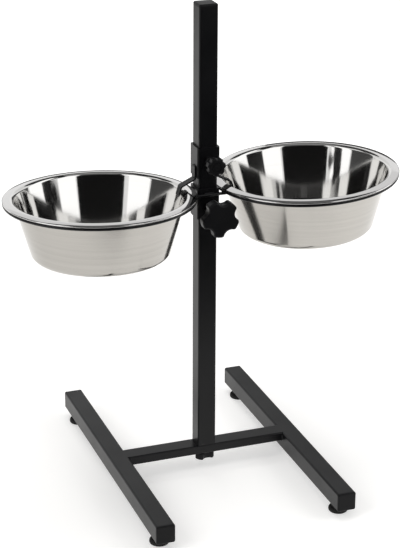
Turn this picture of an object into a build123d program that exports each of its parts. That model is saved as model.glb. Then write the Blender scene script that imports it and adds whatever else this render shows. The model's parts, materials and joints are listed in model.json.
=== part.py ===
from build123d import *
import os
from math import atan, cos, radians, sin, sqrt

# Dog bowl stand: an H base, a square post, a sliding holder with two wire rings,
# a hold-down clamp above it, and two steel bowls. Millimetres and degrees, +Z up.
# The origin lies on the floor under the middle of the base. X runs along the
# crossbar from the left bowl to the right one, and Y runs away from the front.

# Square steel tube of the rails and the post
tube_size = 25.0
tube_wall = 1.5
tube_corner = 2.5

# H base
rail_length = 406.0
rail_spacing = 246.0
crossbar_height = 12.5
crossbar_corner = 2.0
crossbar_forward = 6.0

# Feet under the rails and their screws
foot_height = 12.5
foot_radius = 12.8
foot_neck_radius = 9.0
foot_pad_height = 6.5
foot_top_round = 3.0
foot_bottom_round = 2.5
foot_inset = 23.0
foot_screw_radius = 2.1
foot_screw_head_radius = 4.0
foot_screw_head_height = 2.6
foot_screw_reach = 8.0
foot_recess_depth = 5.5

# Post
post_length = 602.0

# Plastic caps in the ends of the tubes
cap_thickness = 4.0
cap_round = 2.0
cap_insert = 12.0
cap_insert_wall = 1.6
cap_gap = 0.2

# Threaded plug in the foot of the post, and the screw that holds the post down
plug_length = 22.0
large_stud_radius = 4.0
base_stud_grip = 18.0
base_knob_radius = 14.0
base_knob_head = 10.0
base_knob_lobes = 3
base_knob_hollow_depth = 6.0
base_knob_hollow_radius = 8.5
base_knob_turn = -39.0
base_knob_tip_round = 2.5
base_knob_bore = 8.0

# Sliding sleeves on the post
sleeve_size = 30.0
sleeve_corner = 3.0
sleeve_length = 40.0
sleeve_gap = 0.25
holder_rise = 327.0
sleeve_spacing = 15.0

# Clamping screws of the sleeves
small_stud_radius = 3.0
stud_tip_gap = 0.1
stud_chamfer = 0.8
large_nut_width = 13.0
large_nut_height = 6.5
small_nut_width = 10.0
small_nut_height = 5.0
nut_chamfer = 0.7
holder_screw_height = 14.5
clamp_screw_height = 23.0

# Star knobs of the sleeves
holder_knob_radius = 24.7
holder_knob_head = 14.0
holder_knob_lobes = 5
holder_knob_hollow_depth = 5.9
holder_knob_hollow_radius = 10.0
holder_knob_turn = 10.5
holder_knob_tip_round = 3.4
holder_knob_face_round = 3.0
holder_knob_neck_radius = 8.0
holder_knob_neck = 23.0
holder_knob_stand_off = 48.0
clamp_knob_radius = 12.2
clamp_knob_head = 10.0
clamp_knob_lobes = 7
clamp_knob_hollow_depth = 1.8
clamp_knob_hollow_radius = 3.4
clamp_knob_turn = 33.4
clamp_knob_tip_round = 1.2
clamp_knob_neck_radius = 6.0
clamp_knob_neck = 12.0
clamp_knob_stand_off = 30.0
clamp_knob_ring_radius = 6.0
clamp_knob_ring_width = 1.0
clamp_knob_ring_depth = 0.6
knob_bore_floor = 5.0
knob_face_round = 1.8
knob_back_round = 1.5

# Wire frame of the holder
wire_diameter = 4.0
bar_height = 32.0
bar_length = 61.0
bar_end_round = 0.8
bar_flat = 0.4
ring_radius = 120.7
left_ring_reach = 140.7
right_ring_reach = 139.4
ring_sink = 0.7
left_rise_angle = 0.4
right_rise_angle = 2.3
left_lean_angle = 2.5
right_lean_angle = 0.1

# Bowls
bowl_sheet = 1.0
bowl_depth = 79.6
rim_radius = 123.0
bead_diameter = 3.0
bead_curl = 225.0
wall_radius = 109.7
base_radius = 87.1
bowl_corner = 11.0
flange_bend = 8.8
base_panel_radius = 62.0
base_panel_lift = 1.5
base_panel_slope = 4.0
base_panel_bend = 3.0

# Hold-down strips of the clamp
strip_thickness = 2.0
strip_width = 11.0
strip_forward = 2.8
strip_overlap = 14.0
strip_drop = 3.0
strip_bend = 2.0
strip_tab = 9.0
strip_rim_gap = 2.5
strip_tab_gap = 2.4

# Fits
thread_gap = 0.05
seat_gap = 0.3
clearance_hole_gap = 0.4

# Heights and places that follow from the sizes above
rail_top = foot_height + tube_size
rail_middle = foot_height + tube_size / 2
foot_spacing = rail_length - 2 * foot_inset
crossbar_bottom = rail_top - crossbar_height
post_y = -crossbar_forward
post_top = rail_top + post_length
tube_bore = tube_size - 2 * tube_wall
sleeve_bore = tube_size + 2 * sleeve_gap
sleeve_front = post_y - sleeve_size / 2
post_front = post_y - tube_size / 2
holder_bottom = rail_top + holder_rise
clamp_bottom = holder_bottom + sleeve_length + sleeve_spacing
holder_screw_z = holder_bottom + holder_screw_height
clamp_screw_z = clamp_bottom + clamp_screw_height
bar_z = holder_bottom + bar_height
bar_offset = sleeve_size / 2 + wire_diameter / 2 - bar_flat
ring_meeting = sqrt(ring_radius ** 2 - bar_offset ** 2)
# The front bar stands a little higher, by half of what the left ring's lean asks for
front_bar_lift = bar_offset * sin(radians(left_lean_angle))

# Bowl seat: the rolled rim lies on the wire ring
bead_radius = rim_radius - bead_diameter / 2
bead_to_wire = (wire_diameter + bead_diameter) / 2
bead_over_ring = sqrt(bead_to_wire ** 2 - (bead_radius - ring_radius) ** 2) + seat_gap
rim_over_ring = bead_over_ring + bead_diameter / 2

LEFT = -1
RIGHT = 1
SIDES = {"left": LEFT, "right": RIGHT}
ENDS = {"front": -1, "rear": 1}

os.makedirs("parts", exist_ok=True)


def save(part, name):
    """Label a finished piece and write it to its own file."""
    part.label = name
    export_step(part, f"parts/{name}.step")
    return part


def front_plane(y, z):
    """Plane at the front of the post's axis, facing the front, with X to the right and Z up."""
    return Plane(origin=(0, y, z), x_dir=(1, 0, 0), z_dir=(0, -1, 0))


def make_tube(section, size, corner, bore, bore_corner, length):
    """Square tube with rounded corners, drawn from its end plane."""
    with BuildPart() as tube:
        with BuildSketch(section):
            RectangleRounded(size, size, corner)
            RectangleRounded(bore, bore, bore_corner, mode=Mode.SUBTRACT)
        extrude(amount=length)
    return tube.part


def make_tube_cap(mouth):
    """Plastic cap: a rounded head on the tube's end and a hollow plug inside it."""
    plug = tube_bore - 2 * cap_gap
    plug_corner = tube_corner - tube_wall
    hollow = plug - 2 * cap_insert_wall
    along = Axis(mouth.origin, mouth.z_dir)
    with BuildPart() as cap:
        with BuildSketch(mouth):
            RectangleRounded(tube_size, tube_size, tube_corner)
        extrude(amount=cap_thickness)
        fillet(cap.faces().sort_by(along)[-1].edges(), cap_round)
        with BuildSketch(mouth):
            RectangleRounded(plug, plug, plug_corner)
            Rectangle(hollow, hollow, mode=Mode.SUBTRACT)
            Rectangle(hollow, cap_insert_wall)
            Rectangle(cap_insert_wall, hollow)
        extrude(amount=-cap_insert)
    return cap.part


def make_foot(x, y):
    """Rubber foot: a round pad under a narrower neck, with a recess for its screw."""
    floor = Plane(origin=(x, y, 0))
    with BuildPart() as foot:
        with BuildSketch(floor):
            Circle(foot_radius)
        extrude(amount=foot_pad_height)
        pad_edges = foot.edges().filter_by(GeomType.CIRCLE).sort_by(Axis.Z)
        fillet(pad_edges[-1], foot_top_round)
        fillet(pad_edges[0], foot_bottom_round)
        with BuildSketch(floor):
            Circle(foot_neck_radius)
        extrude(amount=foot_height)
        with BuildSketch(floor):
            Circle(foot_screw_head_radius + clearance_hole_gap)
        extrude(amount=foot_recess_depth, mode=Mode.SUBTRACT)
        with BuildSketch(floor):
            Circle(foot_screw_radius + clearance_hole_gap)
        extrude(amount=foot_height, mode=Mode.SUBTRACT)
    return foot.part


def make_stud(end, radius, length):
    """Threaded stud with chamfered ends, drawn from its end plane."""
    with BuildPart() as stud:
        with BuildSketch(end):
            Circle(radius)
        extrude(amount=length)
        chamfer(stud.edges().filter_by(GeomType.CIRCLE), stud_chamfer)
    return stud.part


def make_star_knob(face, radius, lobes, hollow_depth, hollow_radius, turn, tip_round, face_round,
                   head, neck_radius, neck, bore_radius, bore_depth):
    """Star knob: a scalloped head behind its face plane, a round neck and a blind bore for the stud."""
    along = Axis(face.origin, face.z_dir)
    with BuildPart() as knob:
        with BuildSketch(face) as outline:
            Circle(radius)
            with PolarLocations(radius - hollow_depth + hollow_radius, lobes, start_angle=turn):
                Circle(hollow_radius, mode=Mode.SUBTRACT)
            fillet(outline.vertices(), tip_round)
        extrude(amount=-head)
        fillet(knob.faces().sort_by(along)[-1].edges(), face_round)
        fillet(knob.faces().sort_by(along)[0].edges(), knob_back_round)
        if neck > 0:
            with BuildSketch(face.offset(-head)):
                Circle(neck_radius)
            extrude(amount=-neck)
        with BuildSketch(face.offset(-head - neck)):
            Circle(bore_radius)
        extrude(amount=bore_depth, mode=Mode.SUBTRACT)
    return knob.part


def make_sleeve(bottom, screw_z, stud_radius):
    """Square sleeve round the post, with a hole in its front wall for the clamping screw."""
    with BuildPart() as sleeve:
        with BuildSketch(Plane(origin=(0, post_y, bottom))):
            RectangleRounded(sleeve_size, sleeve_size, sleeve_corner)
            Rectangle(sleeve_bore, sleeve_bore, mode=Mode.SUBTRACT)
        extrude(amount=sleeve_length)
        with BuildSketch(front_plane(sleeve_front, screw_z)):
            Circle(stud_radius + clearance_hole_gap)
        extrude(amount=-sleeve_size / 2, mode=Mode.SUBTRACT)
    return sleeve.part


def make_nut(face, width, height, stud_radius):
    """Hexagon nut welded on a face, with a threaded bore that the stud runs in."""
    along = Axis(face.origin, face.z_dir)
    with BuildPart() as nut:
        with BuildSketch(face):
            RegularPolygon(width / 2, 6, major_radius=False)
        extrude(amount=height)
        chamfer(nut.faces().sort_by(along)[-1].edges(), nut_chamfer)
        with BuildSketch(face):
            Circle(stud_radius + thread_gap)
        extrude(amount=height, mode=Mode.SUBTRACT)
    return nut.part


def make_bar(side, z):
    """Straight wire bar across the sleeve's front or rear face, flattened where it is welded on."""
    end = Plane(origin=(-bar_length / 2, post_y + side * bar_offset, z), x_dir=(0, 1, 0), z_dir=(1, 0, 0))
    with BuildPart() as bar:
        with BuildSketch(end):
            Circle(wire_diameter / 2)
        extrude(amount=bar_length)
        fillet(bar.edges().filter_by(GeomType.CIRCLE), bar_end_round)
        with BuildSketch(Plane(origin=(0, post_y, z - wire_diameter))):
            Rectangle(sleeve_size, sleeve_size)
        extrude(amount=2 * wire_diameter, mode=Mode.SUBTRACT)
    return bar.part


def ring_frame(side, reach, rise, lean):
    """Plane of a ring: its origin at the ring's centre, X pointing outwards and Z out of the bowl."""
    outward = Vector(side * cos(radians(rise)), 0, sin(radians(rise)))
    upward = Vector(-side * sin(radians(rise)), cos(radians(rise)) * sin(radians(lean)),
                    cos(radians(rise)) * cos(radians(lean)))
    weld_z = bar_z + front_bar_lift / 2 + wire_diameter - ring_sink
    centre_z = weld_z + ring_meeting * sin(radians(rise))
    return Plane(origin=(side * reach, post_y, centre_z), x_dir=outward, z_dir=upward)


def section_plane(frame):
    """Plane through a ring's axis, with X outwards and Y along the axis."""
    return Plane(origin=frame.origin, x_dir=frame.x_dir, z_dir=frame.x_dir.cross(frame.z_dir))


def make_ring(frame, bars):
    """Wire ring that carries a bowl, notched where it is welded on the two bars."""
    with BuildPart() as ring:
        with BuildSketch(section_plane(frame)):
            with Locations((ring_radius, 0)):
                Circle(wire_diameter / 2)
        revolve(axis=Axis(frame.origin, frame.z_dir))
        add(bars, mode=Mode.SUBTRACT)
    return ring.part


def make_bowl(frame):
    """Pressed steel bowl: lifted base panel, tapered wall, flat flange and rolled rim."""
    rim_top = rim_over_ring
    floor = rim_top - bowl_depth + bowl_sheet
    wall_slope = (wall_radius - base_radius) / bowl_depth
    inner_shift = bowl_sheet / cos(atan(wall_slope))
    wall_foot = base_radius + bowl_sheet * wall_slope - inner_shift
    corners = [
        (0, floor + base_panel_lift),
        (base_panel_radius, floor + base_panel_lift),
        (base_panel_radius + base_panel_slope, floor),
        (wall_foot, floor),
        (wall_radius - inner_shift, rim_top),
        (bead_radius, rim_top),
    ]
    bends = [base_panel_bend, base_panel_bend, bowl_corner, flange_bend]
    with BuildPart() as bowl:
        with BuildSketch(section_plane(frame)):
            with BuildLine():
                FilletPolyline(*corners, radius=bends)
                CenterArc((bead_radius, rim_top - bead_diameter / 2), bead_diameter / 2, 90, -bead_curl)
                offset(amount=bowl_sheet, side=Side.RIGHT)
            make_face()
        revolve(axis=Axis(frame.origin, frame.z_dir))
    return bowl.part


def make_strip(side, frame):
    """Hold-down strip: flat on the sleeve's side, bent out over the rim and down inside the bowl."""
    def beside_bowl(radius, height):
        """Place beside the post, given by its distance from the bowl's axis and from the ring's plane."""
        place = frame.origin - frame.x_dir * radius + frame.z_dir * height
        return abs(place.X), place.Z

    wall_slope = (wall_radius - base_radius) / bowl_depth
    wall_inside = wall_radius - bowl_sheet / cos(atan(wall_slope))
    crest_height = rim_over_ring + strip_rim_gap
    tip_height = rim_over_ring - strip_tab
    underside = [
        (sleeve_size / 2, clamp_bottom + strip_overlap),
        (sleeve_size / 2, clamp_bottom - strip_drop),
        beside_bowl(wall_inside + wall_slope * strip_rim_gap - strip_tab_gap, crest_height),
        beside_bowl(wall_inside - wall_slope * strip_tab - strip_tab_gap, tip_height),
    ]
    outline_plane = Plane(origin=(0, post_y - strip_forward + strip_width / 2, 0), x_dir=(side, 0, 0),
                          z_dir=(0, -side, 0))
    with BuildPart() as strip:
        with BuildSketch(outline_plane):
            with BuildLine():
                FilletPolyline(*underside, radius=strip_bend)
                offset(amount=strip_thickness, side=Side.LEFT)
            make_face()
        extrude(amount=side * strip_width)
    return strip.part


# Base: two rails, the crossbar between them and the caps in the rails' ends
for side_name, side in SIDES.items():
    rail_x = side * rail_spacing / 2
    rail_end = Plane(origin=(rail_x, -rail_length / 2, rail_middle), x_dir=(1, 0, 0), z_dir=(0, 1, 0))
    rail_tube = make_tube(rail_end, tube_size, tube_corner, tube_bore, tube_corner - tube_wall, rail_length)
    with BuildPart() as rail:
        add(rail_tube)
        for end in ENDS.values():
            with BuildSketch(Plane(origin=(rail_x, end * foot_spacing / 2, foot_height))):
                Circle(foot_screw_radius + thread_gap)
            extrude(amount=2 * tube_wall, mode=Mode.SUBTRACT)
    save(rail.part, f"{side_name}_rail")
    for end_name, end in ENDS.items():
        mouth = Plane(origin=(rail_x, end * rail_length / 2, rail_middle), x_dir=(1, 0, 0), z_dir=(0, end, 0))
        save(make_tube_cap(mouth), f"rail_cap_{end_name}_{side_name}")
        save(make_foot(rail_x, end * foot_spacing / 2), f"foot_{end_name}_{side_name}")

# The crossbar's ends are cut to the rails' rounded corners, and its top is flush with theirs
crossbar_middle = rail_top - crossbar_height / 2
crossbar_bore_corner = crossbar_corner - tube_wall
crossbar_length = rail_spacing - tube_size + 2 * tube_corner
crossbar_end = Plane(origin=(-crossbar_length / 2, post_y, crossbar_middle), x_dir=(0, 1, 0), z_dir=(1, 0, 0))
with BuildPart() as crossbar:
    with BuildSketch(crossbar_end):
        RectangleRounded(tube_size, crossbar_height, crossbar_corner)
        RectangleRounded(tube_bore, crossbar_height - 2 * tube_wall, crossbar_bore_corner, mode=Mode.SUBTRACT)
    extrude(amount=crossbar_length)
    with BuildSketch(Plane(origin=(0, post_y - tube_size, rail_middle), x_dir=(1, 0, 0), z_dir=(0, 1, 0))):
        with Locations((-rail_spacing / 2, 0), (rail_spacing / 2, 0)):
            RectangleRounded(tube_size, tube_size, tube_corner)
    extrude(amount=2 * tube_size, mode=Mode.SUBTRACT)
    with BuildSketch(Plane(origin=(0, post_y, crossbar_bottom))):
        Circle(large_stud_radius + clearance_hole_gap)
    extrude(amount=crossbar_height, mode=Mode.SUBTRACT)
save(crossbar.part, "crossbar")

# Foot screws, up through the feet into the rails
with BuildPart() as foot_screws:
    for side in SIDES.values():
        for end in ENDS.values():
            head_bottom = foot_recess_depth - foot_screw_head_height
            seat = Plane(origin=(side * rail_spacing / 2, end * foot_spacing / 2, head_bottom))
            with BuildSketch(seat):
                Circle(foot_screw_head_radius)
            extrude(amount=foot_screw_head_height)
            with BuildSketch(seat):
                Circle(foot_screw_radius)
            extrude(amount=foot_height - head_bottom + foot_screw_reach)
save(foot_screws.part, "foot_screws")

# Post with its cap and its threaded plug
post_foot = Plane(origin=(0, post_y, rail_top))
save(make_tube(post_foot, tube_size, tube_corner, tube_bore, tube_corner - tube_wall, post_length), "post")
save(make_tube_cap(Plane(origin=(0, post_y, post_top))), "post_cap")
with BuildPart() as post_plug:
    with BuildSketch(post_foot):
        RectangleRounded(tube_bore - 2 * cap_gap, tube_bore - 2 * cap_gap, tube_corner - tube_wall)
        Circle(large_stud_radius + thread_gap, mode=Mode.SUBTRACT)
    extrude(amount=plug_length)
save(post_plug.part, "post_plug")

# Base screw: a stud up through the crossbar into the plug, with a small knob under the crossbar
base_knob_face_z = crossbar_bottom - seat_gap - base_knob_head
base_knob_face = Plane(origin=(0, post_y, base_knob_face_z), x_dir=(1, 0, 0), z_dir=(0, 0, -1))
base_stud_foot = crossbar_bottom - seat_gap - base_knob_bore
save(make_stud(Plane(origin=(0, post_y, base_stud_foot)), large_stud_radius,
               rail_top + base_stud_grip - base_stud_foot), "base_stud")
save(make_star_knob(base_knob_face, base_knob_radius, base_knob_lobes, base_knob_hollow_depth,
                    base_knob_hollow_radius, base_knob_turn, base_knob_tip_round, knob_face_round,
                    base_knob_head, 0, 0, large_stud_radius + thread_gap, base_knob_bore), "base_knob")

# Holder: sleeve, welded nut and clamping screw with the large knob
save(make_sleeve(holder_bottom, holder_screw_z, large_stud_radius), "holder_sleeve")
save(make_nut(front_plane(sleeve_front, holder_screw_z), large_nut_width, large_nut_height,
              large_stud_radius), "holder_nut")
holder_knob_face = front_plane(sleeve_front - holder_knob_stand_off, holder_screw_z)
holder_stud_length = (post_front - stud_tip_gap) - (sleeve_front - holder_knob_stand_off) - knob_bore_floor
save(make_stud(holder_knob_face.offset(-knob_bore_floor), large_stud_radius, -holder_stud_length),
     "holder_stud")
save(make_star_knob(holder_knob_face, holder_knob_radius, holder_knob_lobes, holder_knob_hollow_depth,
                    holder_knob_hollow_radius, holder_knob_turn, holder_knob_tip_round, holder_knob_face_round,
                    holder_knob_head, holder_knob_neck_radius, holder_knob_neck,
                    large_stud_radius + thread_gap, holder_knob_head + holder_knob_neck - knob_bore_floor),
     "holder_knob")

# Wire frame: two straight bars on the sleeve, and a ring on their ends at each side
bar_front = save(make_bar(ENDS["front"], bar_z + front_bar_lift), "bar_front")
bar_rear = save(make_bar(ENDS["rear"], bar_z), "bar_rear")
left_frame = ring_frame(LEFT, left_ring_reach, left_rise_angle, left_lean_angle)
right_frame = ring_frame(RIGHT, right_ring_reach, right_rise_angle, right_lean_angle)
save(make_ring(left_frame, [bar_front, bar_rear]), "ring_left")
save(make_ring(right_frame, [bar_front, bar_rear]), "ring_right")

# Bowls, each with its rolled rim on its ring
save(make_bowl(left_frame), "bowl_left")
save(make_bowl(right_frame), "bowl_right")

# Clamp: sleeve, welded nut, clamping screw with the small knob, and the two strips
save(make_sleeve(clamp_bottom, clamp_screw_z, small_stud_radius), "clamp_sleeve")
save(make_nut(front_plane(sleeve_front, clamp_screw_z), small_nut_width, small_nut_height,
              small_stud_radius), "clamp_nut")
clamp_knob_face = front_plane(sleeve_front - clamp_knob_stand_off, clamp_screw_z)
clamp_stud_length = (post_front - stud_tip_gap) - (sleeve_front - clamp_knob_stand_off) - knob_bore_floor
save(make_stud(clamp_knob_face.offset(-knob_bore_floor), small_stud_radius, -clamp_stud_length),
     "clamp_stud")
plain_knob = make_star_knob(clamp_knob_face, clamp_knob_radius, clamp_knob_lobes, clamp_knob_hollow_depth,
                            clamp_knob_hollow_radius, clamp_knob_turn, clamp_knob_tip_round, knob_face_round,
                            clamp_knob_head, clamp_knob_neck_radius, clamp_knob_neck,
                            small_stud_radius + thread_gap,
                            clamp_knob_head + clamp_knob_neck - knob_bore_floor)
with BuildPart() as clamp_knob:
    add(plain_knob)
    with BuildSketch(clamp_knob_face):
        Circle(clamp_knob_ring_radius)
        Circle(clamp_knob_ring_radius - clamp_knob_ring_width, mode=Mode.SUBTRACT)
    extrude(amount=-clamp_knob_ring_depth, mode=Mode.SUBTRACT)
save(clamp_knob.part, "clamp_knob")
save(make_strip(LEFT, left_frame), "strip_left")
save(make_strip(RIGHT, right_frame), "strip_right")
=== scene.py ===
"""Looks of a raised stand with two steel bowls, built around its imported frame.

Sizes are in millimetres, and in metres where a name ends in _m.
"""

import json
import logging
import math
from contextlib import contextmanager
from dataclasses import dataclass, field
from enum import Enum
from typing import Iterator, Sequence

import bmesh
import bpy
from mathutils import Matrix, Vector

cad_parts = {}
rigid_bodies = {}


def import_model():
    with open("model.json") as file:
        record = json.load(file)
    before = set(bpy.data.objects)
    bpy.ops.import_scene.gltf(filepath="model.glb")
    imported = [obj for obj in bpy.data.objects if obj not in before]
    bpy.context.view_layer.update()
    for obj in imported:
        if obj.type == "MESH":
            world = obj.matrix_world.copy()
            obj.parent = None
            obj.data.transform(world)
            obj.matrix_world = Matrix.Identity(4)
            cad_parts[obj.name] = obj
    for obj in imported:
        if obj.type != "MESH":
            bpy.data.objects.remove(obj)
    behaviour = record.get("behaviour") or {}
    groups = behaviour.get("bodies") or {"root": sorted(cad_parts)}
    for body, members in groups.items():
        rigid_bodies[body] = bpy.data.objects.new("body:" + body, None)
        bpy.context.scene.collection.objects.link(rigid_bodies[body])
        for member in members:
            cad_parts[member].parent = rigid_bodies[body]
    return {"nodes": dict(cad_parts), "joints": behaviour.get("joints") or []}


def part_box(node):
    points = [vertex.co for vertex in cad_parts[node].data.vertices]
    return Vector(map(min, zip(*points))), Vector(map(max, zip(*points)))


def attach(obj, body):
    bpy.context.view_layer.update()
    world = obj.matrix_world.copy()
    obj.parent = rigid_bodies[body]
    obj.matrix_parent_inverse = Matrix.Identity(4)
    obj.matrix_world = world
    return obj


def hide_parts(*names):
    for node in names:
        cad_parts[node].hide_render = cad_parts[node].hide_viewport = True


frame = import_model()
log = logging.getLogger("bowl_stand")

MM = 0.001
WHITE = "#ffffff"

BYTE_TOP = 255
SRGB_KNEE = 0.04045
SRGB_TOE_SLOPE = 12.92
SRGB_OFFSET = 0.055
SRGB_POWER = 2.4

UP = Vector((0, 0, 1))
REARWARD = Vector((0, 1, 0))

# Points closer than these are one: in a finished mesh, at an open seam, and where a corner is picked.
MERGE_MM = 0.001
SEAM_MM = 0.002
PICK_MM = 0.02

ROUND_PROFILE = 0.5


class Place(Enum):
    """A place on the stand, with the sign of its coordinate."""

    @property
    def label(self) -> str:
        """The place's word in the names of nodes, bodies and joints."""
        return self.name.lower()


class Side(Place):
    """Left or right of the post, with the sign of X on that side."""

    LEFT = -1
    RIGHT = 1


class End(Place):
    """Front or rear of the stand, with the sign of Y at that end."""

    FRONT = -1
    REAR = 1


def linear(hex_colour: str) -> tuple[float, float, float, float]:
    """Turns an sRGB colour into the linear one that a shader takes.

    Args:
        hex_colour: The colour as "#rrggbb".

    Returns:
        Red, green, blue and alpha, linear.
    """
    parts = [int(hex_colour[i:i + 2], 16) / BYTE_TOP for i in (1, 3, 5)]
    red, green, blue = (
        part / SRGB_TOE_SLOPE if part <= SRGB_KNEE
        else ((part + SRGB_OFFSET) / (1 + SRGB_OFFSET)) ** SRGB_POWER
        for part in parts)
    return red, green, blue, 1.0


def add_node(tree: bpy.types.NodeTree, kind: str, settings: dict | None = None,
             links: dict | None = None) -> bpy.types.Node:
    """Adds a node with its settings and links.

    Args:
        tree: The node tree.
        kind: The node's type name.
        settings: Values by input name or number, or by property name.
        links: Sockets to link, by input name or number.

    Returns:
        The new node.
    """
    node = tree.nodes.new(kind)
    for key, value in (settings or {}).items():
        if isinstance(key, int) or (key in node.inputs and not hasattr(node, str(key))):
            node.inputs[key].default_value = value
        else:
            setattr(node, key, value)
    for key, socket in (links or {}).items():
        tree.links.new(socket, node.inputs[key])
    return node


def empty_tree(owner: bpy.types.Material | bpy.types.World) -> bpy.types.NodeTree:
    """Turns on the nodes of a material or a world and clears them.

    Args:
        owner: The material or the world.

    Returns:
        Its empty node tree.
    """
    owner.use_nodes = True
    owner.node_tree.nodes.clear()
    return owner.node_tree


def new_material(
        name: str) -> tuple[bpy.types.Material, bpy.types.NodeTree, bpy.types.Node, bpy.types.NodeSocket]:
    """Makes a material with a shader, its output and object coordinates.

    Args:
        name: The material's name.

    Returns:
        The material, its node tree, its shader and the coordinates' socket.
    """
    material = bpy.data.materials.new(name)
    tree = empty_tree(material)
    shader = add_node(tree, "ShaderNodeBsdfPrincipled")
    add_node(tree, "ShaderNodeOutputMaterial", links={"Surface": shader.outputs["BSDF"]})
    coordinates = add_node(tree, "ShaderNodeTexCoord")
    return material, tree, shader, coordinates.outputs["Object"]


def between(first: str, second: str) -> dict:
    """What a mix node takes to go from one sRGB colour to another."""
    return {"data_type": "RGBA", 6: linear(first), 7: linear(second)}


@dataclass(frozen=True)
class Grain:
    """A noise pattern: the size of its grains, its finer detail and how strong that is."""

    size_mm: float
    detail: float
    contrast: float = 0.5

    def settings(self) -> dict:
        """What a noise node takes, with coordinates in metres."""
        return {"Scale": 1.0 / (self.size_mm * MM), "Detail": self.detail, "Roughness": self.contrast}


@dataclass(frozen=True)
class Relief:
    """The height of a pattern in the shading, and how much of it is used."""

    height_mm: float
    strength: float

    def settings(self) -> dict:
        """What a bump node takes for the height."""
        return {"Strength": self.strength, "Distance": self.height_mm * MM}


@dataclass(frozen=True)
class PowderCoat:
    """Black polyester powder coat, baked on steel: semi-gloss, with a faint orange peel.

    The peel's waves soften the highlights, and the coat is a little greyer and duller in places.
    """

    name: str = "powder_coat_black"
    colour: str = "#0a0a0c"
    thin_colour: str = "#111113"
    clouds: Grain = Grain(45.0, 3.0)
    peel: Grain = Grain(2.2, 1.0)
    relief: Relief = Relief(0.012, 0.5)
    roughness: float = 0.33
    roughness_spread: float = 0.07
    specular: float = 0.26

    def material(self) -> bpy.types.Material:
        """Builds the coat: waves of orange peel in the bump, and soft clouds in colour and gloss.

        Returns:
            The material.
        """
        material, tree, shader, place = new_material(self.name)
        clouds = add_node(tree, "ShaderNodeTexNoise", self.clouds.settings(), {"Vector": place})
        colour = add_node(tree, "ShaderNodeMix", between(self.colour, self.thin_colour),
                          {0: clouds.outputs["Fac"]})
        gloss = add_node(tree, "ShaderNodeMapRange",
                         {"To Min": self.roughness - self.roughness_spread,
                          "To Max": self.roughness + self.roughness_spread},
                         {"Value": clouds.outputs["Fac"]})
        peel = add_node(tree, "ShaderNodeTexNoise", self.peel.settings(), {"Vector": place})
        bump = add_node(tree, "ShaderNodeBump", self.relief.settings(), {"Height": peel.outputs["Fac"]})
        tree.links.new(colour.outputs[2], shader.inputs["Base Color"])
        tree.links.new(gloss.outputs["Result"], shader.inputs["Roughness"])
        tree.links.new(bump.outputs["Normal"], shader.inputs["Normal"])
        shader.inputs["Specular IOR Level"].default_value = self.specular
        return material


@dataclass(frozen=True)
class MouldedPlastic:
    """Black moulded nylon or ABS from a spark-eroded mould: a fine even grain, softer than the coat.

    A real grain is about 0.2 mm and too fine to show, so it is drawn coarser.
    """

    name: str
    colour: str = "#0e0e0f"
    worn_colour: str = "#18181a"
    grain: Grain = Grain(0.7, 2.0, 0.6)
    relief: Relief = Relief(0.02, 0.35)
    flow: Grain = Grain(18.0, 2.0)
    roughness: float = 0.4
    roughness_below: float = 0.05
    roughness_above: float = 0.07
    specular: float = 0.16

    def material(self) -> bpy.types.Material:
        """Builds the plastic: a grain in the colour and the bump, and the melt's flow in the gloss.

        Returns:
            The material.
        """
        material, tree, shader, place = new_material(self.name)
        grain = add_node(tree, "ShaderNodeTexNoise", self.grain.settings(), {"Vector": place})
        flow = add_node(tree, "ShaderNodeTexNoise", self.flow.settings(), {"Vector": place})
        gloss = add_node(tree, "ShaderNodeMapRange",
                         {"To Min": self.roughness - self.roughness_below,
                          "To Max": self.roughness + self.roughness_above},
                         {"Value": flow.outputs["Fac"]})
        tone = add_node(tree, "ShaderNodeMix", between(self.colour, self.worn_colour),
                        {0: grain.outputs["Fac"]})
        bump = add_node(tree, "ShaderNodeBump", self.relief.settings(), {"Height": grain.outputs["Fac"]})
        tree.links.new(tone.outputs[2], shader.inputs["Base Color"])
        tree.links.new(gloss.outputs["Result"], shader.inputs["Roughness"])
        tree.links.new(bump.outputs["Normal"], shader.inputs["Normal"])
        shader.inputs["Specular IOR Level"].default_value = self.specular
        return material


@dataclass(frozen=True)
class Rubber:
    """Moulded black rubber: dull, slightly dusty, with a grain of about a millimetre."""

    name: str = "foot_rubber_black"
    colour: str = "#101010"
    dust_colour: str = "#201f1e"
    dust: Grain = Grain(6.0, 5.0, 0.7)
    grain: Grain = Grain(1.1, 2.0)
    relief: Relief = Relief(0.03, 0.4)
    roughness: float = 0.62
    specular: float = 0.25

    def material(self) -> bpy.types.Material:
        """Builds the rubber: dust in the colour, a dull and even gloss, and the grain in the bump.

        Returns:
            The material.
        """
        material, tree, shader, place = new_material(self.name)
        dust = add_node(tree, "ShaderNodeTexNoise", self.dust.settings(), {"Vector": place})
        tone = add_node(tree, "ShaderNodeMix", between(self.colour, self.dust_colour),
                        {0: dust.outputs["Fac"]})
        grain = add_node(tree, "ShaderNodeTexNoise", self.grain.settings(), {"Vector": place})
        bump = add_node(tree, "ShaderNodeBump", self.relief.settings(), {"Height": grain.outputs["Fac"]})
        tree.links.new(tone.outputs[2], shader.inputs["Base Color"])
        tree.links.new(bump.outputs["Normal"], shader.inputs["Normal"])
        shader.inputs["Roughness"].default_value = self.roughness
        shader.inputs["Specular IOR Level"].default_value = self.specular
        return material


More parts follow.
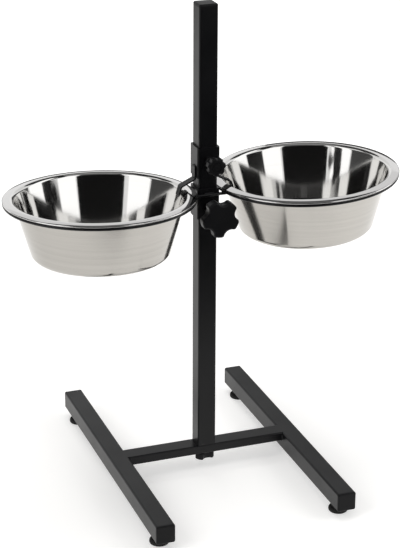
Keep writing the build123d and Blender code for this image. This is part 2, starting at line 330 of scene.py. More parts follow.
@dataclass(frozen=True)
class ZincPlate:
    """Clear-passivated zinc on steel screws: bright, bluish, with a cloudy gloss."""

    name: str = "zinc_plate"
    colour: str = "#b9bcc2"
    warm_colour: str = "#c4c0b6"
    clouds: Grain = Grain(5.0, 4.0)
    roughness_low: float = 0.24
    roughness_high: float = 0.4

    def material(self) -> bpy.types.Material:
        """Builds the plating: bluish and warmer clouds, and a gloss that varies with them.

        Returns:
            The material.
        """
        material, tree, shader, place = new_material(self.name)
        clouds = add_node(tree, "ShaderNodeTexNoise", self.clouds.settings(), {"Vector": place})
        tone = add_node(tree, "ShaderNodeMix", between(self.colour, self.warm_colour),
                        {0: clouds.outputs["Fac"]})
        gloss = add_node(tree, "ShaderNodeMapRange",
                         {"To Min": self.roughness_low, "To Max": self.roughness_high},
                         {"Value": clouds.outputs["Fac"]})
        tree.links.new(tone.outputs[2], shader.inputs["Base Color"])
        tree.links.new(gloss.outputs["Result"], shader.inputs["Roughness"])
        shader.inputs["Metallic"].default_value = 1.0
        return material


@dataclass(frozen=True)
class SpunSteel:
    """Stainless steel, spun and polished on a lathe: fine rings round the bowl's axis.

    The rings stretch the highlights across them and leave faint lighter and darker bands. Real
    polishing lines are about 0.1 mm apart and too fine to show, so lines and bands are drawn coarser.
    """

    name: str
    colour: str
    shade: str
    roughness: float
    roughness_spread: float
    relief: Relief
    anisotropy: float
    lines: Grain = Grain(0.9, 4.0, 0.65)
    bands: Grain = Grain(1.7, 3.0)
    smears: Grain = Grain(38.0, 3.0)
    quarter_turn: float = 0.25

    def material(self, centre: Vector) -> bpy.types.Material:
        """Builds the steel: rings about the bowl's axis in bump and colour, and smears in the gloss.

        Args:
            centre: A point on the bowl's axis, in metres.

        Returns:
            The material.
        """
        material, tree, shader, place = new_material(self.name)
        centred = add_node(tree, "ShaderNodeMapping", {"vector_type": "POINT", "Location": -centre},
                           {"Vector": place})
        parts = add_node(tree, "ShaderNodeSeparateXYZ", links={0: centred.outputs[0]})
        flat = add_node(tree, "ShaderNodeCombineXYZ", links={0: parts.outputs[0], 1: parts.outputs[1]})
        reach = add_node(tree, "ShaderNodeVectorMath", {"operation": "LENGTH"}, {0: flat.outputs[0]})
        rings = add_node(tree, "ShaderNodeCombineXYZ",
                         links={0: reach.outputs["Value"], 2: parts.outputs[2]})
        lines = add_node(tree, "ShaderNodeTexNoise", self.lines.settings(), {"Vector": rings.outputs[0]})
        bands = add_node(tree, "ShaderNodeTexNoise", self.bands.settings(), {"Vector": rings.outputs[0]})
        smears = add_node(tree, "ShaderNodeTexNoise", self.smears.settings(), {"Vector": centred.outputs[0]})
        gloss = add_node(tree, "ShaderNodeMapRange",
                         {"To Min": self.roughness - self.roughness_spread,
                          "To Max": self.roughness + self.roughness_spread},
                         {"Value": smears.outputs["Fac"]})
        bump = add_node(tree, "ShaderNodeBump", self.relief.settings(), {"Height": lines.outputs["Fac"]})
        tone = add_node(tree, "ShaderNodeMix", between(self.colour, self.shade), {0: bands.outputs["Fac"]})
        tree.links.new(tone.outputs[2], shader.inputs["Base Color"])
        tree.links.new(gloss.outputs["Result"], shader.inputs["Roughness"])
        tree.links.new(bump.outputs["Normal"], shader.inputs["Normal"])
        shader.inputs["Metallic"].default_value = 1.0
        shader.inputs["Anisotropic"].default_value = self.anisotropy
        shader.inputs["Anisotropic Rotation"].default_value = self.quarter_turn
        return material


def deselect_all() -> None:
    """Leaves no object selected."""
    for obj in bpy.context.view_layer.objects:
        obj.select_set(False)


def make_active(obj: bpy.types.Object) -> None:
    """Selects one object alone and makes it the active one.

    Args:
        obj: The object.
    """
    deselect_all()
    obj.select_set(True)
    bpy.context.view_layer.objects.active = obj


@contextmanager
def editing(obj: bpy.types.Object) -> Iterator[None]:
    """Opens an object in edit mode for the block, with all of its mesh selected.

    Args:
        obj: The object.
    """
    make_active(obj)
    bpy.ops.object.mode_set(mode="EDIT")
    bpy.ops.mesh.select_mode(type="VERT")
    bpy.ops.mesh.select_all(action="SELECT")
    yield
    bpy.ops.object.mode_set(mode="OBJECT")


def pick_point(obj: bpy.types.Object, point: Vector) -> None:
    """Selects only the drawn vertex at a point, in edit mode.

    Args:
        obj: The object that is open in edit mode.
        point: Where the vertex is, in metres.
    """
    mesh = bmesh.from_edit_mesh(obj.data)
    for vertex in mesh.verts:
        vertex.select = (vertex.co - point).length < PICK_MM * MM
    mesh.select_flush_mode()
    bmesh.update_edit_mesh(obj.data)


def start_line(name: str, first: Vector) -> bpy.types.Object:
    """Starts a drawn line as a single vertex.

    Args:
        name: The object's name.
        first: The line's first point, in metres.

    Returns:
        The object.
    """
    deselect_all()
    bpy.ops.mesh.primitive_plane_add(size=1.0, location=(0, 0, 0))
    obj = bpy.context.object
    obj.name = name
    obj.data.name = name
    with editing(obj):
        bpy.ops.mesh.merge(type="CENTER")
        bpy.ops.transform.translate(value=first)
    return obj


def draw_on(points: Sequence[Vector]) -> None:
    """Extrudes the selected vertex of an open object through further points.

    Args:
        points: The first point is where the vertex is now, and the others are in the line's order.
    """
    for here, there in zip(points, points[1:]):
        bpy.ops.mesh.extrude_region_move(TRANSFORM_OT_translate={"value": there - here})


def spin_round(steps: int) -> None:
    """Spins the whole of an open mesh one full turn about the Z axis."""
    bpy.ops.mesh.select_all(action="SELECT")
    bpy.ops.mesh.spin(steps=steps, angle=math.tau, center=(0, 0, 0), axis=UP)


def close_up(obj: bpy.types.Object) -> None:
    """Merges doubles and turns all faces outwards, on a mesh that is closed.

    Args:
        obj: The object.
    """
    with editing(obj):
        bpy.ops.mesh.remove_doubles(threshold=MERGE_MM * MM)
        bpy.ops.mesh.normals_make_consistent(inside=False)


def place_along(obj: bpy.types.Object, origin: Vector, direction: Vector) -> None:
    """Moves a mesh drawn along Z so that it starts at a point and runs in a direction, place in its mesh.

    Args:
        obj: The object, drawn from the origin upwards.
        origin: Where it starts, in metres.
        direction: Where its Z axis points.
    """
    obj.matrix_world = Matrix.Translation(origin) @ direction.to_track_quat("Z", "Y").to_matrix().to_4x4()
    make_active(obj)
    bpy.ops.object.transform_apply(location=True, rotation=True, scale=True)


def apply_modifier(obj: bpy.types.Object, modifier: bpy.types.Modifier) -> None:
    """Applies a modifier, so that its shape is in the mesh."""
    make_active(obj)
    bpy.ops.object.modifier_apply(modifier=modifier.name)


def smooth(obj: bpy.types.Object, degrees: float) -> None:
    """Shades an object smooth, but for edges sharper than an angle."""
    make_active(obj)
    bpy.ops.object.shade_smooth_by_angle(angle=math.radians(degrees))


def paint(obj: bpy.types.Object, *materials: bpy.types.Material) -> None:
    """Gives an object its materials, in the order of its faces' numbers.

    Args:
        obj: The object.
        materials: The materials.
    """
    obj.data.materials.clear()
    for material in materials:
        obj.data.materials.append(material)


def dress_node(node: str, material: bpy.types.Material) -> None:
    """Gives a node of the frame its material.

    Args:
        node: The node's name.
        material: The material.
    """
    for place in frame["nodes"][node].material_slots:
        place.material = material
    log.info("dressed %s with %s", node, material.name)


def join_in(obj: bpy.types.Object, body: str, slot: str, *nodes: str) -> None:
    """Makes a finished piece ride on its body, and stand for the nodes that it replaces.

    Args:
        obj: The piece.
        body: The body that it moves with.
        slot: The record's slot of its finish. It is not used.
        nodes: The nodes that it stands for.
    """
    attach(obj, body)
    if nodes:
        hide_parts(*nodes)
    log.info("built %s on %s with %d faces", obj.name, body, len(obj.data.polygons))


def joint(name: str) -> dict:
    """The frame's joint of that name."""
    return next(entry for entry in frame["joints"] if entry["name"] == name)


@dataclass
class Thread:
    """A threaded stud, cut from a helix to the length of the plain one that it stands for.

    The shares of the pitch are those of a metric thread: a root a quarter wide, a crest an eighth wide.
    """

    node: str
    body: str
    radius: float
    pitch: float
    axis: Vector
    depth_share: float = 0.61
    root_share: float = 0.25
    crest_share: float = 0.125
    turns_below: int = 2
    turns_spare: int = 4
    steps: int = 36
    merge_mm: float = 0.01
    smooth_degrees: float = 35.0

    def profile(self) -> list[Vector]:
        """One turn's outline, from root to crest to root, drawn below the stud's foot.

        Returns:
            The outline's points, in metres.
        """
        root = self.radius - self.depth_share * self.pitch
        outline = [
            (root, 0.0),
            (root, self.root_share / 2),
            (self.radius, (1 - self.crest_share) / 2),
            (self.radius, (1 + self.crest_share) / 2),
            (root, 1 - self.root_share / 2),
            (root, 1.0),
        ]
        return [Vector((radius * MM, 0, (share - self.turns_below) * self.pitch * MM))
                for radius, share in outline]

    def wind(self, obj: bpy.types.Object, length: float) -> None:
        """Winds the outline into a helix longer than the stud.

        Args:
            obj: The drawn outline.
            length: The stud's length, in metres.
        """
        screw = obj.modifiers.new("wind", "SCREW")
        screw.axis = "Z"
        screw.angle = math.tau
        screw.screw_offset = self.pitch * MM
        screw.iterations = math.ceil(length / (self.pitch * MM)) + self.turns_spare
        screw.steps = self.steps
        screw.render_steps = self.steps
        screw.use_merge_vertices = True
        screw.merge_threshold = self.merge_mm * MM
        apply_modifier(obj, screw)

    def cut_ends(self, obj: bpy.types.Object, length: float) -> None:
        """Cuts the helix flat at the stud's foot and tip, and closes both cuts.

        Args:
            obj: The wound helix.
            length: The stud's length, in metres.
        """
        for height, upper in ((0.0, False), (length, True)):
            with editing(obj):
                bpy.ops.mesh.remove_doubles(threshold=SEAM_MM * MM)
                bpy.ops.mesh.select_all(action="SELECT")
                bpy.ops.mesh.bisect(plane_co=(0, 0, height), plane_no=UP, use_fill=True,
                                    clear_inner=not upper, clear_outer=upper)

    def build(self, finish: bpy.types.Material) -> None:
        """Draws and winds the thread, cuts it to length and sets it where the plain stud is.

        Args:
            finish: The stud's material.
        """
        low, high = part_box(self.node)
        length = abs((high - low).dot(self.axis))
        foot = (low + high) / 2 - self.axis * length / 2
        points = self.profile()
        obj = start_line(self.node.replace("stud", "threaded_stud"), points[0])
        with editing(obj):
            draw_on(points)
        self.wind(obj, length)
        self.cut_ends(obj, length)
        close_up(obj)
        place_along(obj, foot, self.axis)
        smooth(obj, self.smooth_degrees)
        paint(obj, finish)
        join_in(obj, self.body, "zinc_steel", self.node)


@dataclass
class WeldBead:
    """A short weld: overlapping drops in a row, sunk half into the corner that it fills.

    Its outline is given in shares of its radius and in drops, counted back from the end in end_curve.
    """

    name: str
    body: str
    start: Vector
    end: Vector
    radius: float
    drop: float = 1.6
    fewest_drops: int = 3
    start_curve: tuple[tuple[float, float], ...] = ((0.0, 0.0), (0.62, 0.08), (0.92, 0.3))
    end_curve: tuple[tuple[float, float], ...] = ((0.9, 0.25), (0.6, 0.05), (0.0, 0.0))
    widest_at: float = 0.55
    neck: float = 0.84
    steps: int = 14
    smooth_degrees: float = 80.0

    def outline(self) -> list[Vector]:
        """The row's outline along Z, wide at each drop and narrower between two.

        Returns:
            The outline's points, in metres.
        """
        run = (self.end - self.start).length
        drops = max(self.fewest_drops, round(run / self.drop))
        line = list(self.start_curve)
        for number in range(drops):
            line += [(1.0, number + self.widest_at), (self.neck, number + 1.0)]
        line = line[:-1] + [(share, drops - back) for share, back in self.end_curve]
        step = run / drops
        return [Vector((share * self.radius * MM, 0, place * step * MM)) for share, place in line]

    def build(self, finish: bpy.types.Material) -> None:
        """Draws the row's outline, spins it about its line and lays it in place.

        Args:
            finish: The coat over the weld.
        """
        points = self.outline()
        obj = start_line(self.name, points[0])
        with editing(obj):
            draw_on(points)
            spin_round(self.steps)
        close_up(obj)
        place_along(obj, self.start * MM, self.end - self.start)
        smooth(obj, self.smooth_degrees)
        paint(obj, finish)
        join_in(obj, self.body, "frame_paint")


@dataclass
class Bowl:
    """Spun steel bowl with a crowned flange and a rolled edge, bright inside and satin outside.

    Heights are counted from the bowl's hinge, in the ring's middle.
    """

    side: Side
    sheet: float = 1.0
    depth: float = 79.6
    bead_radius: float = 121.9
    bead_height: float = 3.181
    bead_diameter: float = 2.2
    bead_curl: float = 225.0
    bead_from: float = 119.0
    bead_sheet_share: float = 0.6
    crown_radius: float = 116.0
    crown_bend: float = 50.0
    rim_over_ring: float = 5.2073
    rim_polish_from: float = 112.7
    wall_radius: float = 109.7
    base_radius: float = 87.1
    corner: float = 11.0
    flange_bend: float = 5.0
    panel_radius: float = 62.0
    panel_lift: float = 1.5
    panel_slope: float = 4.0
    panel_bend: float = 3.0
    bend_steps: int = 14
    curl_steps: int = 20
    turns: int = 224
    outside_after: int = 2
    smooth_degrees: float = 50.0
    polished: SpunSteel = SpunSteel(
        name="polished_steel", colour="#dfdedc", shade="#d6d5d3", roughness=0.08, roughness_spread=0.03,
        relief=Relief(0.0003, 0.4), anisotropy=0.75)
    rim_steel: SpunSteel = SpunSteel(
        name="rim_steel", colour="#d6d5d4", shade="#d2d1d0", roughness=0.05, roughness_spread=0.015,
        relief=Relief(0.0002, 0.4), anisotropy=0.0)
    satin: SpunSteel = SpunSteel(
        name="satin_steel", colour="#c3c0bb", shade="#aaa7a2", roughness=0.12, roughness_spread=0.04,
        relief=Relief(0.0005, 0.4), anisotropy=0.9, lines=Grain(0.5, 4.0, 0.65), bands=Grain(3.0, 3.0))

    def flange_slope(self) -> float:
        """The fall of the flange towards its rolled edge.

        Returns:
            The angle, in radians.
        """
        across = self.bead_radius - self.crown_radius
        down = self.rim_over_ring - self.bead_height
        return math.atan2(down, across) - math.asin(self.bead_diameter / 2 / math.hypot(across, down))

    def corners(self) -> list[tuple[Vector, float]]:
        """The corners of the sheet's inner line, from the axis outwards.

        Returns:
            Each corner's place and the radius of its bend, in metres.
        """
        floor = self.rim_over_ring - self.depth + self.sheet
        slope = (self.wall_radius - self.base_radius) / self.depth
        shift = self.sheet / math.cos(math.atan(slope))
        foot = self.base_radius + self.sheet * slope - shift
        line = [
            (0.0, floor + self.panel_lift, 0.0),
            (self.panel_radius, floor + self.panel_lift, self.panel_bend),
            (self.panel_radius + self.panel_slope, floor, self.panel_bend),
            (foot, floor, self.corner),
            (self.wall_radius - shift, self.rim_over_ring, self.flange_bend),
            (self.crown_radius, self.rim_over_ring, self.crown_bend),
            (self.bead_radius + self.bead_diameter / 2 * math.sin(self.flange_slope()),
             self.bead_height + self.bead_diameter / 2 * math.cos(self.flange_slope()), 0.0),
        ]
        return [(Vector((x * MM, 0, z * MM)), bend * MM) for x, z, bend in line]

    def draw_section(self) -> bpy.types.Object:
        """Draws the inner line, rounds its corners and curls the rim.

        Returns:
            The drawn line.
        """
        corners = self.corners()
        points = [place for place, _ in corners]
        obj = start_line(f"spun_bowl_{self.side.label}", points[0])
        with editing(obj):
            draw_on(points)
            for before, (here, bend), after in zip(points, corners[1:-1], points[2:]):
                turn = (here - before).angle(after - here)
                pick_point(obj, here)
                bpy.ops.mesh.bevel(offset=bend * math.tan(turn / 2), offset_type="OFFSET",
                                   segments=self.bend_steps, profile=ROUND_PROFILE, affect="VERTICES")
            pick_point(obj, points[-1])
            centre = Vector((self.bead_radius * MM, 0, self.bead_height * MM))
            bpy.ops.mesh.spin(steps=self.curl_steps, angle=-math.radians(self.bead_curl), center=centre,
                              axis=REARWARD)
        return obj

    def spin_section(self, obj: bpy.types.Object) -> None:
        """Spins the drawn line about the axis into a sheet whose faces look inwards and up.

        Args:
            obj: The drawn line.
        """
        with editing(obj):
            spin_round(self.turns)
            bpy.ops.mesh.select_all(action="SELECT")
            bpy.ops.mesh.remove_doubles(threshold=SEAM_MM * MM)
            bpy.ops.mesh.normals_make_consistent(inside=False)
        middle = min(obj.data.polygons, key=lambda face: face.center.xy.length)
        if middle.normal.z < 0:
            with editing(obj):
                bpy.ops.mesh.flip_normals()

    def thicken(self, obj: bpy.types.Object) -> None:
        """Gives the sheet its thickness, which is less where the rim was rolled.

        Args:
            obj: The sheet.
        """
        thinned = obj.vertex_groups.new(name="sheet_share")
        for vertex in obj.data.vertices:
            share = self.bead_sheet_share if vertex.co.xy.length > self.bead_from * MM else 1.0
            thinned.add([vertex.index], share, "REPLACE")
        wall = obj.modifiers.new("sheet", "SOLIDIFY")
        wall.thickness = self.sheet * MM
        wall.vertex_group = thinned.name
        wall.offset = -1.0
        wall.use_even_offset = True
        wall.material_offset = self.outside_after
        wall.material_offset_rim = self.outside_after
        apply_modifier(obj, wall)
        obj.vertex_groups.clear()

    def build(self) -> None:
        """Spins the section, finishes and thickens the sheet, and sets the bowl in its ring.

        The outside takes the finish two places after the inside's, so the satin is there twice.
        """
        body = f"bowl_{self.side.label}"
        hinge = joint(f"{body}_turn")
        centre = Vector(hinge["pos_m"])
        obj = self.draw_section()
        self.spin_section(obj)
        satin = self.satin.material(centre)
        paint(obj, self.polished.material(centre), self.rim_steel.material(centre), satin, satin)
        for face in obj.data.polygons:
            face.material_index = int(face.center.xy.length > self.rim_polish_from * MM)
        self.thicken(obj)
        place_along(obj, centre, Vector(hinge["axis"]))
        smooth(obj, self.smooth_degrees)
        join_in(obj, body, "bowl_steel", body)


@dataclass
class Base:
    """H base of two rails and a crossbar, with its caps and feet, the post and the screw that holds it."""

    coat: bpy.types.Material
    plastic: bpy.types.Material
    knob_plastic: bpy.types.Material
    rubber: bpy.types.Material
    zinc: bpy.types.Material
    rail_inner: float = 110.5
    crossbar_half: float = 12.5
    post_y: float = -6.0
    crossbar_low: float = 25.0
    crossbar_high: float = 37.5
    stud_radius: float = 4.0
    stud_pitch: float = 1.25
    weld_radius: float = 1.5
    weld_in_rail: float = 0.2
    weld_off_bar: float = 0.1
    weld_over_low: float = 1.5
    weld_under_high: float = 2.5
    weld_half: float = 10.0

    def dress(self) -> None:
        """Gives the base's nodes their finishes."""
        for node in ("left_rail", "right_rail", "crossbar", "post"):
            dress_node(node, self.coat)
        for end in End:
            for side in Side:
                dress_node(f"rail_cap_{end.label}_{side.label}", self.plastic)
                dress_node(f"foot_{end.label}_{side.label}", self.rubber)
        dress_node("post_cap", self.plastic)
        dress_node("post_plug", self.plastic)
        dress_node("base_knob", self.knob_plastic)
        dress_node("foot_screws", self.zinc)

    def lay_weld(self, name: str, start: Vector, end: Vector) -> None:
        """Lays one of the crossbar's welds."""
        WeldBead(name, "base", start, end, self.weld_radius).build(self.coat)

    def build_welds(self) -> None:
        """Lays a weld at each corner of the crossbar's ends, on its front and rear faces and underneath."""
        low = self.crossbar_low + self.weld_over_low
        high = self.crossbar_high - self.weld_under_high
        under = self.crossbar_low - self.weld_off_bar
        for side in Side:
            x = side.value * (self.rail_inner + self.weld_in_rail)
            for end in End:
                y = self.post_y + end.value * (self.crossbar_half + self.weld_off_bar)
                self.lay_weld(f"crossbar_weld_{end.label}_{side.label}", Vector((x, y, low)),
                              Vector((x, y, high)))
            self.lay_weld(f"crossbar_weld_under_{side.label}",
                          Vector((x, self.post_y - self.weld_half, under)),
                          Vector((x, self.post_y + self.weld_half, under)))

    def build(self) -> None:
        """Dresses the base and builds the screw under the post and the welds."""
        self.dress()
        Thread("base_stud", "base_screw", self.stud_radius, self.stud_pitch, UP).build(self.zinc)
        self.build_welds()


@dataclass
class Holder:
    """Sleeve on the post with its two wire bars and rings, and the screw with the large knob."""

    coat: bpy.types.Material
    knob_plastic: bpy.types.Material
    zinc: bpy.types.Material
    sleeve_half: float = 15.0
    post_y: float = -6.0
    bar_z: float = 396.5
    front_lift: float = 0.7241
    wire: float = 4.0
    bar_offset: float = 16.6
    ring_radius: float = 120.7
    stud_radius: float = 4.0
    stud_pitch: float = 1.25
    bar_weld_radius: float = 1.3
    bar_weld_half: float = 6.5
    bar_weld_off: float = 0.7
    bar_weld_sink: float = 0.3
    ring_weld_radius: float = 1.0
    ring_weld_half: float = 2.2
    ring_weld_shift: float = 1.5
    ring_weld_sink: float = 0.2
    ring_weld_drop: float = 1.5

    def dress(self) -> None:
        """Gives the holder's nodes their finishes."""
        for node in ("holder_sleeve", "holder_nut", "bar_front", "bar_rear", "ring_left", "ring_right"):
            dress_node(node, self.coat)
        dress_node("holder_knob", self.knob_plastic)

    def bar_height(self, end: End) -> float:
        """The height of a bar's middle."""
        return self.bar_z + (self.front_lift if end is End.FRONT else 0.0)

    def build_bar_welds(self) -> None:
        """Lays a weld above and below each bar where it lies on the sleeve."""
        for end in End:
            y = self.post_y + end.value * (self.sleeve_half + self.bar_weld_off)
            for word, up in (("over", 1), ("under", -1)):
                z = self.bar_height(end) + up * (self.wire / 2 - self.bar_weld_sink)
                WeldBead(f"bar_weld_{end.label}_{word}", "holder", Vector((-self.bar_weld_half, y, z)),
                         Vector((self.bar_weld_half, y, z)), self.bar_weld_radius).build(self.coat)

    def crossing(self, side: Side, end: End) -> tuple[Vector, Vector]:
        """Where a ring's wire crosses a bar, seen from above.

        Args:
            side: The ring's side.
            end: The bar's end.

        Returns:
            The crossing at the height of the bar's top, and the way from the ring's middle to it.
        """
        centre = Vector(joint(f"bowl_{side.label}_turn")["pos_m"]) / MM
        reach = math.sqrt(self.ring_radius ** 2 - self.bar_offset ** 2)
        place = Vector((centre.x - side.value * reach, self.post_y + end.value * self.bar_offset, 0))
        across = Vector((place.x - centre.x, place.y - centre.y, 0)).normalized()
        place.z = self.bar_height(end) + self.wire / 2 - self.ring_weld_sink
        return place, across

    def build_ring_welds(self) -> None:
        """Lays a weld along each side of the ring's wire where it crosses a bar."""
        for side in Side:
            for end in End:
                place, across = self.crossing(side, end)
                along = Vector((-across.y, across.x, 0)) * self.ring_weld_half
                for number, way in enumerate((-1, 1), start=1):
                    spot = place + across * way * self.ring_weld_shift
                    WeldBead(f"ring_weld_{end.label}_{side.label}_{number}", "holder", spot - along,
                             spot + along, self.ring_weld_radius, self.ring_weld_drop).build(self.coat)

    def build(self) -> None:
        """Dresses the holder and builds its screw and welds."""
        self.dress()
        Thread("holder_stud", "holder_screw", self.stud_radius, self.stud_pitch, REARWARD).build(self.zinc)
        self.build_bar_welds()
        self.build_ring_welds()


@dataclass
class Clamp:
    """Upper sleeve with the two strips that hold the bowls down, and the screw with the small knob."""

    coat: bpy.types.Material
    knob_plastic: bpy.types.Material
    zinc: bpy.types.Material
    sleeve_half: float = 15.0
    post_y: float = -6.0
    sleeve_low: float = 419.5
    strip_forward: float = 2.8
    strip_width: float = 11.0
    strip_overlap: float = 14.0
    stud_radius: float = 3.0
    stud_pitch: float = 1.0
    weld_radius: float = 1.4
    weld_off_sleeve: float = 0.4
    weld_over_strip: float = 0.2
    weld_inset: float = 1.0

    def dress(self) -> None:
        """Gives the clamp's nodes their finishes."""
        for node in ("clamp_sleeve", "clamp_nut", "strip_left", "strip_right"):
            dress_node(node, self.coat)
        dress_node("clamp_knob", self.knob_plastic)

    def build_welds(self) -> None:
        """Lays a weld over the top edge of each strip on the sleeve's side."""
        half = self.strip_width / 2 - self.weld_inset
        for side in Side:
            x = side.value * (self.sleeve_half + self.weld_off_sleeve)
            y = self.post_y - self.strip_forward
            z = self.sleeve_low + self.strip_overlap + self.weld_over_strip
            WeldBead(f"strip_weld_{side.label}", "clamp", Vector((x, y - half, z)), Vector((x, y + half, z)),
                     self.weld_radius).build(self.coat)

    def build(self) -> None:
        """Dresses the clamp and builds its screw and welds."""
        self.dress()
        Thread("clamp_stud", "clamp_screw", self.stud_radius, self.stud_pitch, REARWARD).build(self.zinc)
        self.build_welds()


def add_to_scene(name: str, data: bpy.types.ID) -> bpy.types.Object:
    """Puts a camera or a lamp into the scene as an object.

    Args:
        name: The object's name.
        data: The camera or the lamp.

    Returns:
        The object.
    """
    obj = bpy.data.objects.new(name, data)
    bpy.context.scene.collection.objects.link(obj)
    return obj


def show_in_reflections(obj: bpy.types.Object, level: float) -> None:
    """Makes a studio panel of an object: evenly lit or black, and seen only in reflections.

    Args:
        obj: The panel.
        level: How bright it is, with 0 for black cloth and 1 for white.
    """
    material = bpy.data.materials.new(f"{obj.name}_surface")
    tree = empty_tree(material)
    glow = add_node(tree, "ShaderNodeEmission", {"Color": linear(WHITE), "Strength": level})
    add_node(tree, "ShaderNodeOutputMaterial", links={"Surface": glow.outputs[0]})
    paint(obj, material)
    for rays in ("camera", "diffuse", "shadow", "transmission", "volume_scatter"):
        setattr(obj, f"visible_{rays}", False)


@dataclass(frozen=True)
class Panel:
    """A studio panel on a circle round the stand, seen only in reflections.

    Its place is given by the azimuths of its two edges, in degrees from the front towards the right,
    and by the elevations of its lower and upper edge. Its level is 0 for black cloth.
    """

    name: str
    first: float
    last: float
    low: float
    high: float
    level: float
    distance_m: float = 2.5
    height_m: float = 0.4
    step_degrees: float = 4.0

    def point(self, azimuth: float, elevation: float) -> Vector:
        """A point on the circle's cylinder.

        Args:
            azimuth: Degrees from the front towards the right.
            elevation: Degrees above the circle's middle.

        Returns:
            The point, in metres.
        """
        angle = math.radians(azimuth)
        return Vector((math.sin(angle) * self.distance_m, -math.cos(angle) * self.distance_m,
                       self.height_m + math.tan(math.radians(elevation)) * self.distance_m))

    def build(self) -> None:
        """Draws the panel's foot as an arc and extrudes it upwards."""
        spans = max(1, round(abs(self.last - self.first) / self.step_degrees))
        feet = [self.point(self.first + (self.last - self.first) * i / spans, self.low)
                for i in range(spans + 1)]
        obj = start_line(self.name, feet[0])
        rise = self.point(self.first, self.high) - feet[0]
        with editing(obj):
            draw_on(feet)
            bpy.ops.mesh.select_all(action="SELECT")
            bpy.ops.mesh.extrude_region_move(TRANSFORM_OT_translate={"value": rise})
        show_in_reflections(obj, self.level)


@dataclass(frozen=True)
class Lamp:
    """A soft square lamp aimed at the middle of the stand, and not seen in reflections."""

    name: str
    place_m: tuple[float, float, float]
    size_m: float
    watts: float
    aim_m: tuple[float, float, float] = (0.0, 0.0, 0.35)

    def build(self) -> None:
        """Hangs the lamp in its place and aims it."""
        data = bpy.data.lights.new(self.name, "AREA")
        data.size = self.size_m
        data.energy = self.watts
        obj = add_to_scene(self.name, data)
        place = Vector(self.place_m)
        turn = (Vector(self.aim_m) - place).to_track_quat("-Z", "Y")
        obj.matrix_world = Matrix.Translation(place) @ turn.to_matrix().to_4x4()
        obj.visible_glossy = False


@dataclass(frozen=True)
class Overhead:
    """A level square sheet over the stand, seen only in reflections."""

    name: str
    size_m: float
    height_m: float
    level: float

    def build(self) -> None:
        """Hangs the sheet."""
        deselect_all()
        bpy.ops.mesh.primitive_plane_add(size=self.size_m, location=(0, 0, self.height_m))
        obj = bpy.context.object
        obj.name = self.name
        show_in_reflections(obj, self.level)


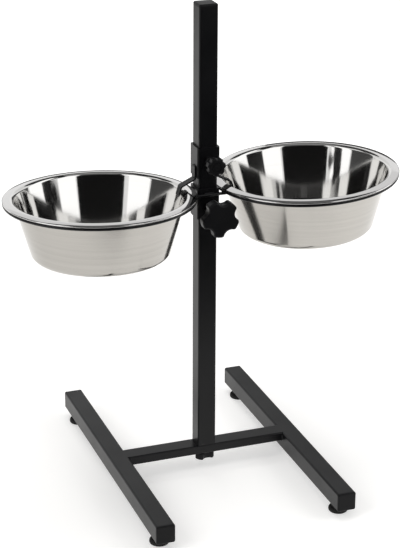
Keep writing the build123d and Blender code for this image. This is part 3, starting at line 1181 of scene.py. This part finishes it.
@dataclass
class Studio:
    """Pale floor, soft lamps, reflection panels and the camera at the photograph's angle.

    The floor's own glow grows from near to far, and from the left share to the right one.
    """

    eye: Vector = field(default_factory=lambda: Vector((-746.4, -2034.7, 1147.8)))
    look: Vector = field(default_factory=lambda: Vector((0.3182, 0.8721, -0.3718)))
    roll: float = 0.204
    focal_px: float = 1778.875
    picture_height_px: float = 548.0
    sensor: float = 36.0
    sight_m: float = 50.0
    ambient: float = 0.42
    floor_m: float = 24.0
    floor_squares: int = 4
    floor_colour: str = "#e6e5e3"
    floor_glow_near: float = 0.4
    floor_glow_far: float = 0.7
    floor_near_m: float = 0.6
    floor_far_m: float = 2.2
    floor_share_m: float = 0.5
    floor_left_share: float = 0.78
    floor_right_share: float = 1.28
    cloth_front_m: tuple[float, float] = (-3.2, -0.46)
    cloth_side_m: tuple[float, float] = (-1.4, 2.4)
    cloth_lift_m: float = 0.004
    cloth_level: float = 0.004
    overheads: tuple[Overhead, ...] = (
        Overhead("ceiling", size_m=7.0, height_m=4.6, level=0.02),
        Overhead("softbox_top", size_m=3.2, height_m=4.5, level=0.3),
    )
    lamps: tuple[Lamp, ...] = (
        Lamp("lamp_left", (-2.3, -0.9, 1.9), size_m=1.7, watts=30.0),
        Lamp("lamp_right", (2.0, -1.3, 1.8), size_m=1.5, watts=18.0),
        Lamp("lamp_top", (-0.2, 0.4, 3.0), size_m=1.8, watts=26.0),
    )
    panels: tuple[Panel, ...] = (
        Panel("panel_front", -55, 13, -9, 40, 0.008),
        Panel("panel_front_high", -55, 13, 40, 62, 0.11),
        Panel("panel_right_gap", 43, 69, -9, 16, 0.012),
        Panel("softbox_right_front", 15, 42, 2, 60, 1.45, distance_m=2.7),
        Panel("softbox_right", 70, 95, -9, 60, 1.45, distance_m=2.7),
        Panel("softbox_left", -92, -61, -9, 60, 1.45, distance_m=2.7),
        Panel("panel_left_rear", -136, -94, -9, 30, 0.07),
        Panel("panel_right_front_low", 13, 43, -9, 2, 0.01),
        Panel("panel_rear_right", 98, 158, -9, 13.5, 0.06),
        Panel("panel_rear_left", 158, 200, -9, 5, 0.06),
        Panel("softbox_rear_right", 118, 158, 13.5, 20, 1.0),
        Panel("softbox_rear_left", 158, 220, 5, 20, 1.0),
        Panel("softbox_rear", 118, 220, 20, 34, 0.85),
        Panel("panel_rear_high", 98, 232, 34, 60, 0.05),
        Panel("panel_rear_grey", 150, 172, 37, 52, 0.13, distance_m=2.4),
    )

    def build_camera(self) -> None:
        """Sets the camera by the fitted eye, line of sight and roll."""
        forward = self.look.normalized()
        level_right = forward.cross(UP).normalized()
        level_up = level_right.cross(forward)
        turn = math.radians(self.roll)
        right = level_right * math.cos(turn) + level_up * math.sin(turn)
        up = level_up * math.cos(turn) - level_right * math.sin(turn)
        data = bpy.data.cameras.new("photo_camera")
        data.sensor_width = self.sensor
        data.lens = self.focal_px / self.picture_height_px * self.sensor
        data.clip_end = self.sight_m
        obj = add_to_scene("photo_camera", data)
        basis = Matrix((right, up, -forward)).transposed().to_4x4()
        obj.matrix_world = Matrix.Translation(self.eye * MM) @ basis
        bpy.context.scene.camera = obj

    def seen(self, tree: bpy.types.NodeTree) -> bpy.types.NodeSocket:
        """One for rays from the camera, a reflection or a clear body, and nought for light on things.

        Args:
            tree: The node tree that asks.

        Returns:
            The answer's socket.
        """
        path = add_node(tree, "ShaderNodeLightPath")
        first = add_node(tree, "ShaderNodeMath", {"operation": "MAXIMUM"},
                         {0: path.outputs["Is Camera Ray"], 1: path.outputs["Is Glossy Ray"]})
        both = add_node(tree, "ShaderNodeMath", {"operation": "MAXIMUM"},
                        {0: first.outputs[0], 1: path.outputs["Is Transmission Ray"]})
        return both.outputs[0]

    def build_world(self) -> None:
        """White where it is seen, and a soft even light elsewhere."""
        world = bpy.data.worlds.new("studio_world")
        bpy.context.scene.world = world
        tree = empty_tree(world)
        level = add_node(tree, "ShaderNodeMapRange", {"To Min": self.ambient, "To Max": 1.0},
                         {"Value": self.seen(tree)})
        sky = add_node(tree, "ShaderNodeBackground", {"Color": linear(WHITE)},
                       {"Strength": level.outputs["Result"]})
        add_node(tree, "ShaderNodeOutputWorld", links={"Surface": sky.outputs[0]})

    def build_floor(self) -> None:
        """Pale matt floor with a little glow of its own where it is seen, so that only its shadow shows."""
        deselect_all()
        bpy.ops.mesh.primitive_grid_add(x_subdivisions=self.floor_squares, y_subdivisions=self.floor_squares,
                                        size=self.floor_m, location=(0, 0, 0))
        obj = bpy.context.object
        obj.name = "floor"
        material = bpy.data.materials.new("floor_paper")
        tree = empty_tree(material)
        paper = add_node(tree, "ShaderNodeBsdfDiffuse", {"Color": linear(self.floor_colour)})
        place = add_node(tree, "ShaderNodeTexCoord")
        reach = add_node(tree, "ShaderNodeVectorMath", {"operation": "LENGTH"},
                         {0: place.outputs["Object"]})
        far = add_node(tree, "ShaderNodeMapRange",
                       {"From Min": self.floor_near_m, "From Max": self.floor_far_m,
                        "To Min": self.floor_glow_near, "To Max": self.floor_glow_far},
                       {"Value": reach.outputs["Value"]})
        parts = add_node(tree, "ShaderNodeSeparateXYZ", links={0: place.outputs["Object"]})
        share = add_node(tree, "ShaderNodeMapRange",
                         {"From Min": -self.floor_share_m, "From Max": self.floor_share_m,
                          "To Min": self.floor_left_share, "To Max": self.floor_right_share},
                         {"Value": parts.outputs[0]})
        shared = add_node(tree, "ShaderNodeMath", {"operation": "MULTIPLY"},
                          {0: far.outputs["Result"], 1: share.outputs["Result"]})
        level = add_node(tree, "ShaderNodeMath", {"operation": "MULTIPLY"},
                         {0: shared.outputs[0], 1: self.seen(tree)})
        glow = add_node(tree, "ShaderNodeEmission", {"Color": linear(WHITE)},
                        {"Strength": level.outputs[0]})
        both = add_node(tree, "ShaderNodeAddShader", links={0: paper.outputs[0], 1: glow.outputs[0]})
        add_node(tree, "ShaderNodeOutputMaterial", links={"Surface": both.outputs[0]})
        paint(obj, material)

    def build_floor_cloth(self) -> None:
        """Lays a black cloth on the floor well in front, seen only in reflections."""
        far, near = self.cloth_front_m
        left, right = self.cloth_side_m
        corners = [Vector((x, near, self.cloth_lift_m)) for x in (left, right)]
        obj = start_line("floor_cloth", corners[0])
        with editing(obj):
            draw_on(corners)
            bpy.ops.mesh.select_all(action="SELECT")
            bpy.ops.mesh.extrude_region_move(TRANSFORM_OT_translate={"value": (0, far - near, 0)})
        show_in_reflections(obj, self.cloth_level)

    def build(self) -> None:
        """Builds the studio round the stand."""
        self.build_camera()
        self.build_world()
        self.build_floor()
        self.build_floor_cloth()
        for piece in (*self.overheads, *self.lamps, *self.panels):
            piece.build()
        bpy.context.scene.view_settings.view_transform = "Standard"


def main() -> None:
    """Builds the studio, the finishes and each sub-assembly in order."""
    logging.basicConfig(level=logging.INFO, format="%(message)s")
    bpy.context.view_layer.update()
    deselect_all()
    coat = PowderCoat().material()
    cap_plastic = MouldedPlastic("cap_plastic_black").material()
    knob_plastic = MouldedPlastic("knob_plastic_black", colour="#101011", roughness=0.34).material()
    rubber = Rubber().material()
    zinc = ZincPlate().material()
    Base(coat, cap_plastic, knob_plastic, rubber, zinc).build()
    Holder(coat, knob_plastic, zinc).build()
    Clamp(coat, knob_plastic, zinc).build()
    for side in Side:
        Bowl(side).build()
    Studio().build()
    deselect_all()


if __name__ == "__main__":
    main()
